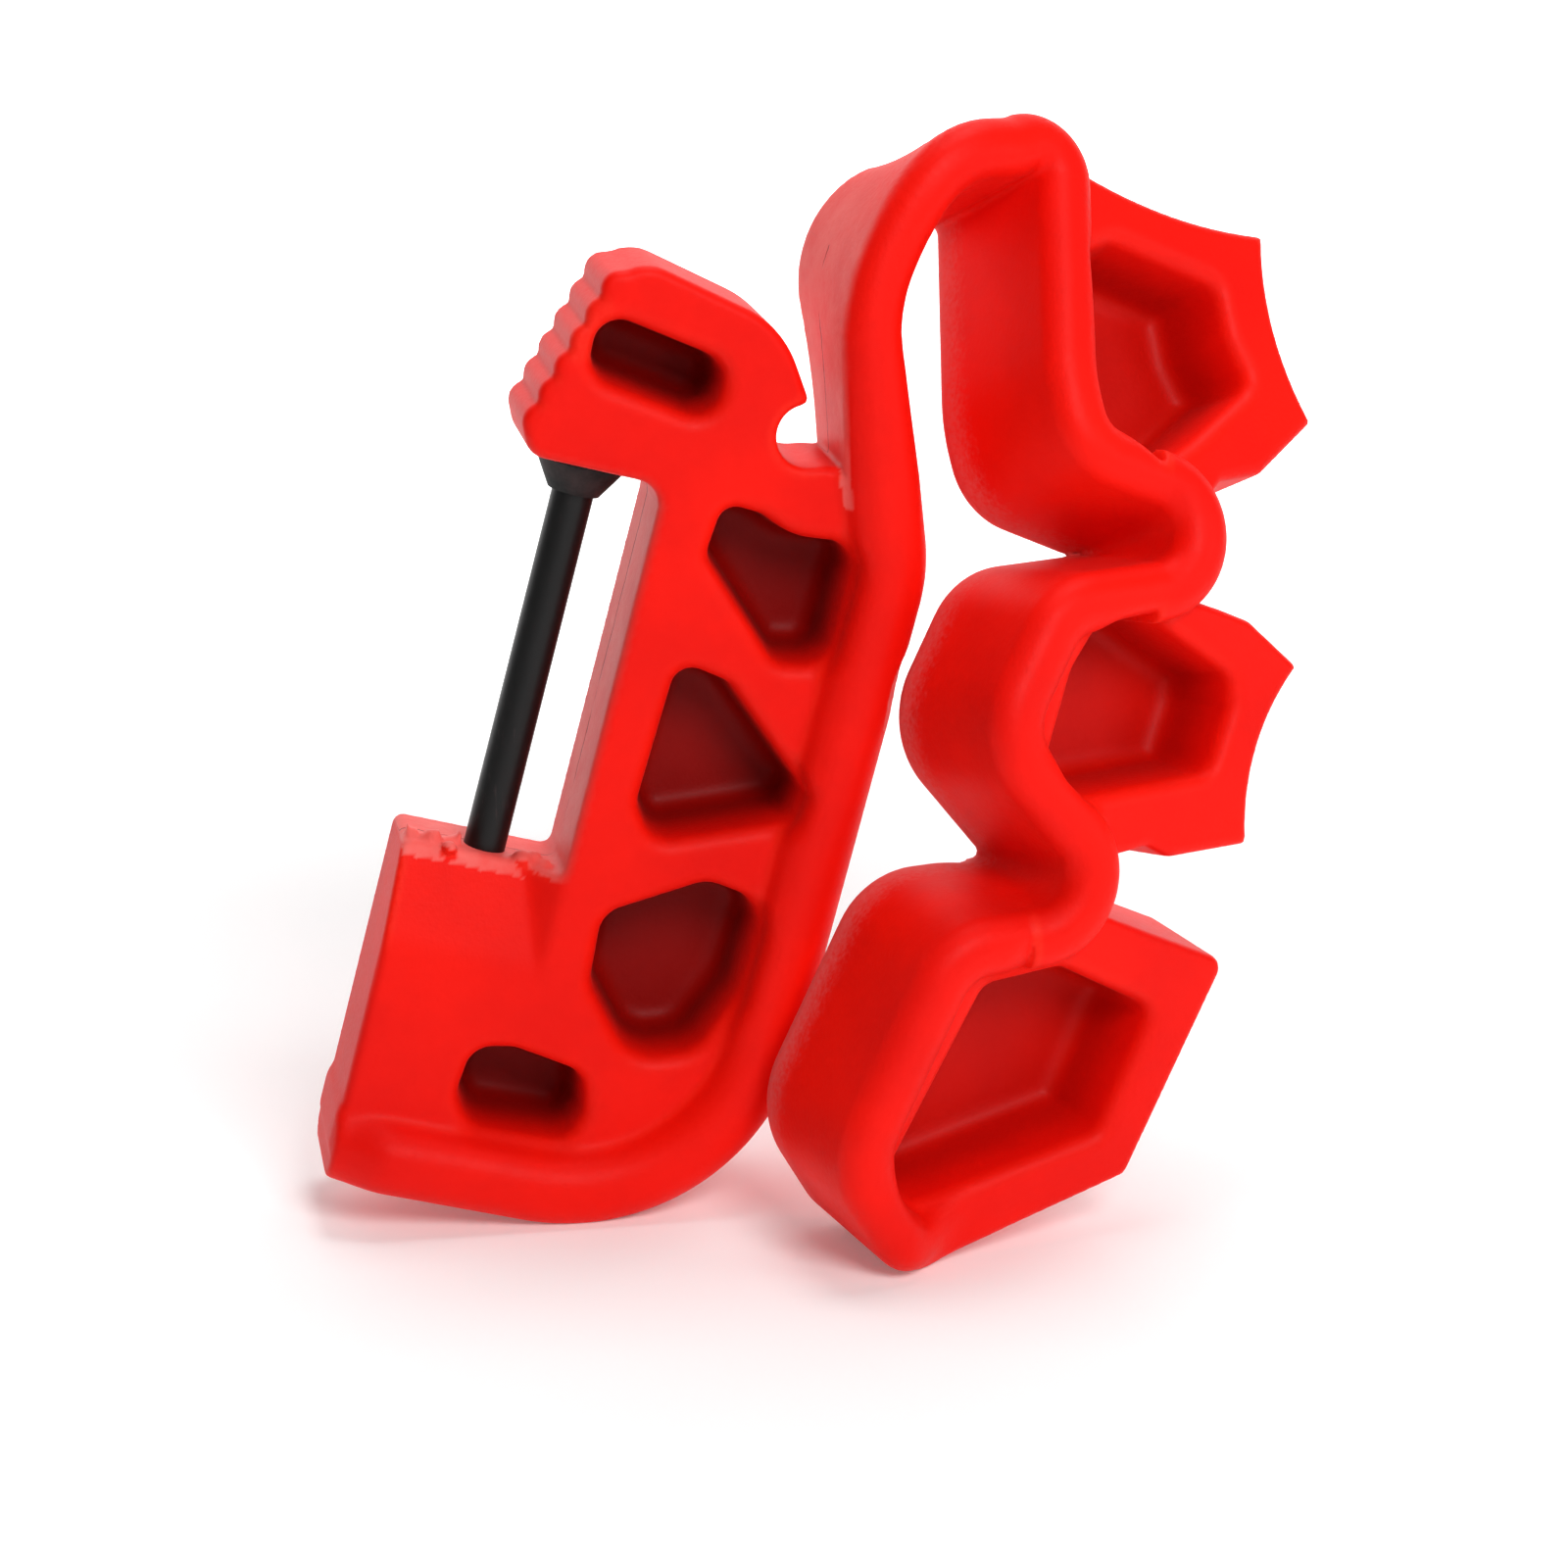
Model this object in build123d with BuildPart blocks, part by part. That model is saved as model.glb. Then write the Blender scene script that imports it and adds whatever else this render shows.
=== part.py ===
from build123d import *
import os
from math import cos, radians, sin

# A folding grip block: one moulding of red self-skinning foam with a steel bar across its mouth.
# It stands folded. A frame block carries the bar. A rolled band runs round the frame, rises as a
# bare neck strap, folds over a crest and continues as the rim of three hinged pads.
# Each block is drawn in its own upright plane: x to the right, y up, z towards the front.
# +Z is up and the origin is under the middle of the folded block, on the surface it stands on.

# Driving sizes, mm
BAR_D = 8.5  # bar with its coating
MOUTH_H = 82.0  # clear length of the bar, from foot to head
BAR_GAP = 15.0  # bar axis to the spine's face
WEB_T = 28.0  # thickness of the flat blocks
BAND_W = 42.0  # width of the rolled band, front to back
FRAME_BAND_T = 15.0  # band thickness on the frame
STRAP_T = 12.0  # band thickness on the neck and the pads
BEAD_R = 4.5  # rounding of the band's long edges
POCKET_FLOOR = 8.0  # foam left behind each pocket
POCKET_DRAFT = 6.0  # degrees
POCKET_R = 3.5  # corner radius of the pockets

FRAME_W = 63.3  # bar axis to the middle of the band
FOOT_H = 64.2  # foot's top down to the middle of the band
FOOT_REACH = 17.5  # bar axis to the foot's free face
FRAME_CORNER_R = 43.0  # middle of the band round the lower corner
HEAD_H = 43.0  # height of the head above the mouth
HEAD_REACH = 16.0  # bar axis to the head's free end
NOTCH_R = 6.3  # round notch between the head and the neck
NOTCH_INSET, NOTCH_RISE = 22.8, 16.0  # its centre, in from the band's middle and above the mouth
LOBES, LOBE_R = 6, 3.6  # finger lobes on the head's free end
LOBE_START, LOBE_RUN = 7.0, 28.5  # height of the first above the mouth, and on to the last
FACET_H, FACET_DEPTH = 21.0, 4.0  # sloped relief on the front of the foot
SPINE_WALL = 13.0  # foam between the spine's face and its pockets
POCKET_RIM = 0.8  # flat face between a pocket and the band
RIB_DROP = 28.0  # mouth's top down to where the spine's diagonal rib meets the band

COLLAR_D, COLLAR_H = 18.0, 7.0  # flared collar where the bar enters the head
HEAD_EMBED, FOOT_EMBED = 11.0, 28.0  # bar inside the foam
ANCHOR_D, ANCHOR_T, ANCHOR_INSET = 20.0, 2.0, 2.0

NECK_INSET, NECK_RISE = 6.5, 11.0  # end of the frame's band, in from its middle, above the mouth
NECK_BEND = 6.0  # mouth's top down to where the band turns into the neck
NECK_WAY = ((14.3, 31.0, 0.5), (19.0, 46.0, 1.5), (15.5, 61.5, 3.0), (7.0, 69.8, 5.0))  # inset, rise and depth
ROOT_END = 0.38  # share of the neck that bends at its root
CREST_OFFSET, CREST_RISE, CREST_BACK = 4.5, 66.6, 6.9  # crease of the crest fold, out from the band
CREASE_R = 1.0  # inner radius of the crest fold
MID_CREASE_R = 2.8  # and of the fold between the upper and the middle pad
CREST_TURN = 122.0  # degrees the band turns over the crest
LOW_CREASE_R = 4.0  # inner radius of the open fold above the lower pad
FOLD_STEPS = 4  # spans of a fold that twists
UPPER_REACH, MIDDLE_REACH, LOWER_REACH = 59.0, 33.5, 44.0  # crease to each pad's far corner
UPPER_H, MIDDLE_H, LOWER_H = 72.3, 60.1, 77.85  # crease to the next crease, and to the lowest corner
UPPER_SHIFT, MIDDLE_SHIFT = 8.2, -31.5  # next crease sideways from this one
CREST_OUT = -18.0  # where the band leaves the crest fold, degrees round the crease
MID_IN, MID_OUT = 63.0, -90.0  # where it meets and leaves the fold above the middle pad
LOW_IN, LOW_OUT = 38.0, -90.0  # and the fold above the lower pad

# Attitudes, degrees: lean of the frame, then yaw and pitch of each pad's depth
FRAME_LEAN = 14.8
UPPER_YAW, UPPER_PITCH = 28.5, -25.4
MIDDLE_YAW, MIDDLE_PITCH = 20.5, -9.3
LOWER_YAW, LOWER_PITCH = 14.9, 2.2

POCKET_DEPTH = WEB_T - POCKET_FLOOR
FRONT = WEB_T / 2


def block_plane(origin, yaw, pitch):
    """Upright plane of a block whose front faces the viewer, turned by yaw and tipped by pitch."""
    y, p = radians(yaw), radians(pitch)
    return Plane(origin, x_dir=(cos(y), sin(y), 0), z_dir=(sin(y) * cos(p), -cos(y) * cos(p), -sin(p)))


def heading(plane, degrees):
    """Direction in a block's plane, counted from its x towards its y."""
    return plane.x_dir * cos(radians(degrees)) + plane.y_dir * sin(radians(degrees))


def across(plane, point, degrees):
    """Plane square to the band where it passes a point of a block, on its way along a heading."""
    return Plane(plane.from_local_coords(point), x_dir=plane.z_dir, z_dir=heading(plane, degrees))


def round_the_fold(plane, radius, degrees):
    """Plane square to a band that turns clockwise round the block's origin."""
    point = (radius * cos(radians(degrees)), radius * sin(radians(degrees)), 0)
    return across(plane, point, degrees - 90)


def polar(radius, degrees, centre=(0, 0)):
    return (centre[0] + radius * cos(radians(degrees)), centre[1] + radius * sin(radians(degrees)))


# Planes of the four blocks. Each pad's origin is on the crease of the fold above it.
FRAME = Plane((0, 0, 0), x_dir=(cos(radians(FRAME_LEAN)), 0, -sin(radians(FRAME_LEAN))), z_dir=(0, -1, 0))
UPPER = block_plane(
    FRAME.from_local_coords((FRAME_W + CREST_OFFSET, MOUTH_H + CREST_RISE, -CREST_BACK)),
    UPPER_YAW,
    UPPER_PITCH,
)
MIDDLE = block_plane(UPPER.from_local_coords((UPPER_SHIFT, -UPPER_H, 0)), MIDDLE_YAW, MIDDLE_PITCH)
LOWER = block_plane(MIDDLE.from_local_coords((MIDDLE_SHIFT, -MIDDLE_H, 0)), LOWER_YAW, LOWER_PITCH)

# Radii of the band's middle round the three creases
FOLD_R = STRAP_T / 2 + CREASE_R
MID_FOLD_R = STRAP_T / 2 + MID_CREASE_R
LOW_FOLD_R = STRAP_T / 2 + LOW_CREASE_R

# Middle lines of the band on each block, as corners and their radii
neck_foot = (FRAME_W - NECK_INSET, MOUTH_H + NECK_RISE)
frame_line = [(-FOOT_REACH, -FOOT_H), (FRAME_W, -FOOT_H), (FRAME_W, MOUTH_H - NECK_BEND), neck_foot]
frame_radii = [FRAME_CORNER_R, 30]
upper_start = polar(FOLD_R, CREST_OUT)
upper_end = polar(MID_FOLD_R, MID_IN, (UPPER_SHIFT, -UPPER_H))
upper_line = [
    upper_start,
    polar(UPPER_H - 31.3, CREST_OUT - 90, upper_start),
    polar(21, MID_IN + 90, upper_end),
    upper_end,
]
upper_radii = [40, 10]
middle_end = polar(LOW_FOLD_R, LOW_IN, (MIDDLE_SHIFT, -MIDDLE_H))
middle_line = [
    polar(MID_FOLD_R, MID_OUT),
    (MIDDLE_SHIFT + 7.5, -MID_FOLD_R),
    polar(27, LOW_IN + 90, middle_end),
    middle_end,
]
middle_radii = [12, 14]
lower_line = [
    polar(LOW_FOLD_R, LOW_OUT),
    (-19, -LOW_FOLD_R),
    (-39.5, 26.85 - LOWER_H),
    (-28, 7.85 - LOWER_H),
]
lower_radii = [12, 16]


def band(plane, line, radii, thickness):
    """Rolled band swept along its middle line, as a finished block part."""
    with BuildPart() as strip:
        with BuildLine(plane) as path:
            FilletPolyline(*line, radius=radii)
        with BuildSketch(Plane(path.wire() @ 0, x_dir=plane.z_dir, z_dir=path.wire() % 0)):
            RectangleRounded(BAND_W, thickness, BEAD_R)
        sweep(path=path.wire())
    return strip


def cut_pocket(plane, corners, radii):
    """Blind pocket with drafted walls, cut into the part where this is called."""
    with BuildSketch(plane.offset(FRONT)) as mouth:
        with BuildLine():
            FilletPolyline(*corners, radius=radii, close=True)
        make_face()
    extrude(mouth.sketch, amount=-POCKET_DEPTH, taper=POCKET_DRAFT, mode=Mode.SUBTRACT)


# The band, block by block
frame_band = band(FRAME, frame_line, frame_radii, FRAME_BAND_T)
upper_band = band(UPPER, upper_line, upper_radii, STRAP_T)
middle_band = band(MIDDLE, middle_line, middle_radii, STRAP_T)
lower_band = band(LOWER, lower_line, lower_radii, STRAP_T)

# Bare neck between the frame and the crest, twisting from the frame's plane to the upper pad's
strap_end = round_the_fold(UPPER, FOLD_R, CREST_OUT + CREST_TURN)
with BuildLine(Plane.XY) as neck_line:
    Spline(
        FRAME.from_local_coords((*neck_foot, 0)),
        *[FRAME.from_local_coords((FRAME_W - x, MOUTH_H + y, -depth)) for x, y, depth in NECK_WAY],
        strap_end.origin,
        tangents=(FRAME.y_dir * (NECK_RISE + NECK_BEND) - FRAME.x_dir * NECK_INSET, strap_end.z_dir),
    )


def neck_section(share, twist):
    """Plane square to the neck at a share of its length, turned by a share of the whole twist."""
    depth = FRAME.z_dir * (1 - twist) + UPPER.z_dir * twist
    way = neck_line.wire() % share
    return Plane(neck_line.wire() @ share, x_dir=depth - way * depth.dot(way), z_dir=way)


root_sections = (
    (0, 0, FRAME_BAND_T),
    (ROOT_END / 2, 0.03, (FRAME_BAND_T + STRAP_T) / 2),
    (ROOT_END, 0.12, STRAP_T),
)
with BuildPart() as neck_root:
    for share, twist, thickness in root_sections:
        with BuildSketch(neck_section(share, twist)):
            RectangleRounded(BAND_W, thickness, BEAD_R)
    loft()

with BuildPart() as crest_fold:
    with BuildSketch(strap_end):
        RectangleRounded(BAND_W, STRAP_T, BEAD_R)
    revolve(axis=Axis(UPPER.origin, -UPPER.z_dir), revolution_arc=CREST_TURN)

with BuildPart() as neck_strap:
    for share, twist in ((ROOT_END, 0.12), (0.55, 0.38), (0.75, 0.78), (0.9, 1.0), (1.0, 1.0)):
        with BuildSketch(neck_section(share, twist)):
            RectangleRounded(BAND_W, STRAP_T, BEAD_R)
    loft()


def twisted_fold(centre, radius, turn, yaw, pitch, neighbours):
    """Fold of the band round a crease, lofted so that it twists from one pad's plane to the next."""
    with BuildPart() as fold:
        for i in range(FOLD_STEPS + 1):
            share = i / FOLD_STEPS
            plane = block_plane(
                centre,
                yaw[0] + (yaw[1] - yaw[0]) * share,
                pitch[0] + (pitch[1] - pitch[0]) * share,
            )
            with BuildSketch(round_the_fold(plane, radius, turn[0] + (turn[1] - turn[0]) * share)):
                RectangleRounded(BAND_W, STRAP_T, BEAD_R)
        loft()
        for neighbour in neighbours:
            add(neighbour.part, mode=Mode.SUBTRACT)
    return fold


middle_fold = twisted_fold(
    MIDDLE.origin,
    MID_FOLD_R,
    (MID_IN, MID_OUT),
    (UPPER_YAW, MIDDLE_YAW),
    (UPPER_PITCH, MIDDLE_PITCH),
    (upper_band, middle_band),
)
lower_fold = twisted_fold(
    LOWER.origin,
    LOW_FOLD_R,
    (LOW_IN, LOW_OUT),
    (MIDDLE_YAW, LOWER_YAW),
    (MIDDLE_PITCH, LOWER_PITCH),
    (middle_band, lower_band),
)

# Steel bar and what holds it
BAR_AXIS = Axis(FRAME.origin, FRAME.y_dir)


def bar_station(y):
    """Plane square to the bar at a height above the foot."""
    return Plane(FRAME.from_local_coords((0, y, 0)), x_dir=FRAME.x_dir, z_dir=FRAME.y_dir)


with BuildPart() as grip_bar:
    with BuildSketch(bar_station(-FOOT_EMBED)):
        Circle(BAR_D / 2)
    extrude(amount=FOOT_EMBED + MOUTH_H + HEAD_EMBED)

with BuildPart() as bar_collar:
    with BuildSketch(FRAME):
        Polygon(
            (BAR_D / 2, MOUTH_H - COLLAR_H),
            (BAR_D / 2 + 1, MOUTH_H - COLLAR_H),
            (COLLAR_D / 2, MOUTH_H - 1),
            (COLLAR_D / 2, MOUTH_H),
            (BAR_D / 2, MOUTH_H),
            align=None,
        )
    revolve(axis=BAR_AXIS)


def anchor(y):
    """Flange round the bar, buried in the foam above this height."""
    with BuildPart() as disc:
        with BuildSketch(bar_station(y)):
            Circle(ANCHOR_D / 2)
            Circle(BAR_D / 2, mode=Mode.SUBTRACT)
        extrude(amount=ANCHOR_T)
    return disc


head_anchor = anchor(MOUTH_H + HEAD_EMBED - ANCHOR_INSET - ANCHOR_T)
foot_anchor = anchor(ANCHOR_INSET - FOOT_EMBED)

# Frame web: foot, spine and head in one flat block that the band closes on its outside
notch_x = FRAME_W - NOTCH_INSET
head_top = MOUTH_H + HEAD_H
left = BAR_GAP + SPINE_WALL
right = FRAME_W - FRAME_BAND_T / 2 - POCKET_RIM
rib = MOUTH_H - RIB_DROP
floor = FRAME_BAND_T / 2 - FOOT_H
head_pocket = [
    (11 - HEAD_REACH, head_top - 13),
    (notch_x - 19.3, head_top - 16.8),
    (notch_x - 19.5, head_top - 28.3),
    (11.5 - HEAD_REACH, head_top - 24.5),
]
upper_spine_pocket = [
    (left, MOUTH_H - 2),
    (left + 6, MOUTH_H - 1),
    (right, MOUTH_H - 3),
    (right, rib),
    (right - 9, rib - 1),
    (left, rib + 14),
]
lower_spine_pocket = [
    (left, rib - 7),
    (left + 10, rib - 8),
    (right + 2, rib - 27),
    (right + 2, rib - 32),
    (left + 4, 12),
    (left - 1, 18),
]
corner_pocket = [
    (left - 1, -7),
    (right - 10, 3.5),
    (right + 1, 3.5),
    (right + 1, floor + 42.7),
    (right - 3, floor + 24.7),
    (right - 16, floor + 24.7),
    (left, floor + 34.7),
]
foot_pocket = [
    (7, floor + 16.7),
    (14, floor + 19.7),
    (28, floor + 16.7),
    (31, floor + 10.7),
    (28, floor + 2.7),
    (10, floor + 1.7),
    (6, floor + 8.7),
]
with BuildPart() as frame_web:
    with BuildSketch(FRAME):
        with BuildLine():
            FilletPolyline(
                *frame_line,
                (notch_x - 2.5, MOUTH_H + NECK_RISE),
                (notch_x - 1, MOUTH_H + NOTCH_RISE + 6),
                (notch_x - 10.5, head_top - 7),
                (13 - HEAD_REACH, head_top),
                (-HEAD_REACH, MOUTH_H),
                (BAR_GAP, MOUTH_H),
                (BAR_GAP, 0),
                (-FOOT_REACH, 0),
                radius=[0, FRAME_CORNER_R, 30, 0, 0, 2.5, 22, 8, 5, 5, 1, 3],
                close=True,
            )
        make_face()
        with Locations((notch_x, MOUTH_H + NOTCH_RISE)):
            Circle(NOTCH_R, mode=Mode.SUBTRACT)
        for i in range(LOBES):
            rise = LOBE_START + LOBE_RUN * i / (LOBES - 1)
            with Locations((13 * rise / HEAD_H - HEAD_REACH + 0.75 * LOBE_R, MOUTH_H + rise)):
                Circle(LOBE_R)
    extrude(amount=FRONT, both=True)
    for pocket in (head_pocket, upper_spine_pocket, lower_spine_pocket, corner_pocket, foot_pocket):
        cut_pocket(FRAME, pocket, POCKET_R)
    foot_side = Plane(FRAME.from_local_coords((-FOOT_REACH, 0, 0)), x_dir=FRAME.z_dir, z_dir=FRAME.x_dir)
    with BuildSketch(foot_side):
        Polygon((FRONT, 0), (FRONT - FACET_DEPTH, 0), (FRONT, FACET_H), align=None)
    extrude(amount=FOOT_REACH + BAR_GAP, mode=Mode.SUBTRACT)
    add(frame_band.part, mode=Mode.SUBTRACT)
    for buried in (grip_bar, head_anchor, foot_anchor, neck_root):
        add(buried.part, mode=Mode.SUBTRACT)


def pad_web(plane, outline, pocket, strips):
    """Flat pad behind its band. A corner has x, y, rounding and the hollow of the side that leaves it."""
    with BuildPart() as web:
        with BuildSketch(plane) as face:
            with BuildLine():
                for (x, y, _, hollow), (next_x, next_y, *_) in zip(outline, outline[1:] + outline[:1]):
                    if hollow:
                        SagittaArc((x, y), (next_x, next_y), -hollow)
                    else:
                        Line((x, y), (next_x, next_y))
            make_face()
            for x, y, rounding, _ in outline:
                if rounding:
                    fillet(face.vertices().sort_by_distance((x, y))[0], rounding)
        extrude(amount=FRONT, both=True)
        cut_pocket(plane, pocket, POCKET_R)
        for strip in strips:
            add(strip.part, mode=Mode.SUBTRACT)
    return web


def corners(line):
    """Corners of a band's middle line as plain corners of a web, from its end back to its start."""
    return [(x, y, 0, 0) for x, y in reversed(line)]


upper_web = pad_web(
    UPPER,
    [
        (15, 1, 0, 2.5),
        (UPPER_REACH, -17, 3, 3.5),
        (UPPER_REACH - 1.5, 15.3 - UPPER_H, 3, 0),
        (UPPER_REACH - 19, 6.8 - UPPER_H, 2, 0),
        (UPPER_REACH - 30, 6.8 - UPPER_H, 3, 0),
        (UPPER_REACH - 39, 0.3 - UPPER_H, 0, 0),
        *corners(upper_line),
    ],
    [
        (8, -16),
        (19, -15),
        (UPPER_REACH - 16, -0.373 * UPPER_H),
        (UPPER_REACH - 17, -0.526 * UPPER_H),
        (UPPER_REACH - 15, 25.3 - UPPER_H),
        (11, 12.3 - UPPER_H),
        (5, 19.3 - UPPER_H),
        (5, -0.484 * UPPER_H),
    ],
    (upper_band, crest_fold, middle_fold),
)
middle_web = pad_web(
    MIDDLE,
    [
        (10, -12, 0, 0),
        (16, -14.5, 2, 0),
        (MIDDLE_REACH - 11, -17.5, 2, 0),
        (MIDDLE_REACH, -28, 3, 4),
        (MIDDLE_REACH - 15.5, -1.9 - MIDDLE_H, 3, 0),
        (-1, -1.9 - MIDDLE_H, 2, 0),
        (-6, 1.1 - MIDDLE_H, 2, 0),
        (-18, 0.1 - MIDDLE_H, 0, 0),
        *corners(middle_line),
    ],
    [
        (-13, -14),
        (-3, -14),
        (MIDDLE_REACH - 17, -28),
        (MIDDLE_REACH - 17, -34),
        (10, 14.1 - MIDDLE_H),
        (-22, 14.1 - MIDDLE_H),
        (-28, 20.1 - MIDDLE_H),
        (-20, -22),
    ],
    (middle_band, middle_fold, lower_fold),
)
lower_web = pad_web(
    LOWER,
    [
        (10, -6, 0, 0),
        (LOWER_REACH, -22, 3, 0),
        (LOWER_REACH - 21, 12.85 - LOWER_H, 3, 0),
        (-24, -LOWER_H, 6, 0),
        (-33, 4.65 - LOWER_H, 0, 0),
        *corners(lower_line),
    ],
    [
        (-10, -20),
        (7, -19),
        (LOWER_REACH - 17, -31),
        (LOWER_REACH - 29, 22.85 - LOWER_H),
        (-26, 14.85 - LOWER_H),
        (-30, 20.85 - LOWER_H),
    ],
    (lower_band, lower_fold),
)

# Every piece under its own name, moved so that the origin is under the middle of the whole
pieces = {
    "frame_web": frame_web,
    "frame_band": frame_band,
    "grip_bar": grip_bar,
    "bar_collar": bar_collar,
    "head_anchor": head_anchor,
    "foot_anchor": foot_anchor,
    "neck_root": neck_root,
    "neck_strap": neck_strap,
    "crest_fold": crest_fold,
    "upper_pad_web": upper_web,
    "upper_pad_band": upper_band,
    "middle_fold": middle_fold,
    "middle_pad_web": middle_web,
    "middle_pad_band": middle_band,
    "lower_fold": lower_fold,
    "lower_pad_web": lower_web,
    "lower_pad_band": lower_band,
}
whole = Compound([piece.part for piece in pieces.values()]).bounding_box()
home = Location((-whole.center().X, -whole.center().Y, -whole.min.Z))

os.makedirs("parts", exist_ok=True)
for name, piece in pieces.items():
    piece.part.move(home)
    piece.part.label = name
    export_step(piece.part, f"parts/{name}.step")
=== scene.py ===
import math

import bpy
import numpy as np
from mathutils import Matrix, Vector


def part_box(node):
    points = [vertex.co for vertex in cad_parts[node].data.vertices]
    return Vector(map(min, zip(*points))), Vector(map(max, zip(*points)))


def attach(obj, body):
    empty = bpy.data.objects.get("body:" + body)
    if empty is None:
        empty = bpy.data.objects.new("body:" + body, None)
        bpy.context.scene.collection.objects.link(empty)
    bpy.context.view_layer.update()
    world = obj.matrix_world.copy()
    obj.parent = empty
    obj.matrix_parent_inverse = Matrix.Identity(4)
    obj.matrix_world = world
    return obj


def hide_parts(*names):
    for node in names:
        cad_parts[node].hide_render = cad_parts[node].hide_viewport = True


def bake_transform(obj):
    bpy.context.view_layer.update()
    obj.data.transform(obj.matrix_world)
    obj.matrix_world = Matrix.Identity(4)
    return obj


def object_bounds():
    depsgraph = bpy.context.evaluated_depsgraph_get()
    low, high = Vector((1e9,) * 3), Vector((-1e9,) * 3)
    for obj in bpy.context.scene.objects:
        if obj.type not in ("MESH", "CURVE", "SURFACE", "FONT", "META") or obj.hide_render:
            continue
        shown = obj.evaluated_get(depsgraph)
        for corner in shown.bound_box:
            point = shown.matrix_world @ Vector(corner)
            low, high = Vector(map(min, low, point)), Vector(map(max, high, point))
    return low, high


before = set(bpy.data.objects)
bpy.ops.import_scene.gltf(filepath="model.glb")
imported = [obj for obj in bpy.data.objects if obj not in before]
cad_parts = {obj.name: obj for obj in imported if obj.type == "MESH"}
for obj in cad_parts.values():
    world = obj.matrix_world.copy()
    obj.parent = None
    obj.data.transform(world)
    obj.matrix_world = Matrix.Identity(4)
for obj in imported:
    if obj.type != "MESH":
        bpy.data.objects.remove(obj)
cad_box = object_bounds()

# A folding grip block of red self-skinning foam. The foam is one moulding, so its skin is made as
# one surface: each block and each fold is a distance field, in millimetres, and their union is
# meshed once and then parted into pieces, those of the blocks riding on the CAD bodies.
MM = 0.001
VOXEL = 0.85
MARGIN = 5.0  # empty space kept round the fields
GAP = 2.2  # least space between the frame and the pads

# Sizes repeated from the CAD model, mm and degrees
MOUTH_H, BAR_GAP = 82.0, 15.0
HEAD_EMBED, FOOT_EMBED = 11.0, 28.0
WEB_HALF, BAND_HALF = 14.0, 21.0
FRAME_BAND_T, STRAP_T = 15.0, 12.0
FLOOR_DEPTH, DRAFT = 20.0, math.tan(math.radians(6))
RIM = 0.5  # how much wider a pocket's walls stand, to make up for its rounded edge
FRAME_W, FOOT_H, FOOT_REACH = 63.3, 64.2, 17.5
HEAD_H, HEAD_REACH = 43.0, 16.0
NOTCH_R = 6.3
NECK_WAY = ((14.3, 31.0, 0.5), (19.0, 46.0, 1.5), (15.5, 61.5, 3.0), (7.0, 69.8, 5.0))
ROOT_END = 0.38
CREST_OFFSET, CREST_RISE, CREST_BACK = 4.5, 66.6, 6.9
FOLD_R, MID_FOLD_R, LOW_FOLD_R = 7.0, 8.8, 10.0
CREST_OUT, CREST_TURN = -18.0, 122.0
MID_IN, LOW_IN, FOLD_OUT = 63.0, 38.0, -90.0
UPPER_REACH, MIDDLE_REACH, LOWER_REACH = 59.0, 33.5, 44.0
UPPER_H, MIDDLE_H, LOWER_H = 72.3, 60.1, 77.85
UPPER_SHIFT, MIDDLE_SHIFT = 8.2, -31.5
LEAN = 14.8
UPPER_TURN, MIDDLE_TURN, LOWER_TURN = (28.5, -25.4), (20.5, -9.3), (14.9, 2.2)
OVERLAP = 2.0  # how far a band runs on inside the fold that continues it
FACET_H, FACET_DEPTH = 21.5, 7.0  # sloped relief on the front of the foot
LOBES, LOBE_R, LOBE_START, LOBE_RUN = 6, 3.7, 7.0, 28.5  # finger lobes on the head's free end
# Torn lumps on the foot's top: place and radius
FLASH_LUMPS = ((7.4, 0.4, 5.0, 2.1), (9.8, 0.7, 3.6, 1.7), (11.9, 0.1, 5.6, 1.5), (-8.0, 0.3, 7.5, 1.6))
# Share of the full painted shade, a darkening in the pockets, of each piece that has any
POCKET_SHADE = {"frame_skin": 1.0, "upper_pad_skin": 0.55, "middle_pad_skin": 0.55, "lower_pad_skin": 0.55}


# ---------------------------------------------------------------- planes and outlines


class Block:
    """Upright plane of a block: x to the right, y up and z towards the front, in millimetres."""

    def __init__(self, origin, x, y, z):
        self.origin = np.array(origin, float)
        self.axes = np.array([x, y, z], float)

    def world(self, x, y, z=0.0):
        return self.origin + np.array([x, y, z]) @ self.axes

    def local(self, points):
        return (points - self.origin) @ self.axes.T


def turned(origin, yaw, pitch):
    """Plane turned by yaw and tipped by pitch, in degrees."""
    a, b = math.radians(yaw), math.radians(pitch)
    x = np.array([math.cos(a), math.sin(a), 0.0])
    z = np.array([math.sin(a) * math.cos(b), -math.cos(a) * math.cos(b), -math.sin(b)])
    return Block(origin, x, np.cross(z, x), z)


def polar(radius, degrees, centre=(0.0, 0.0)):
    a = math.radians(degrees)
    return (centre[0] + radius * math.cos(a), centre[1] + radius * math.sin(a))


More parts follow.
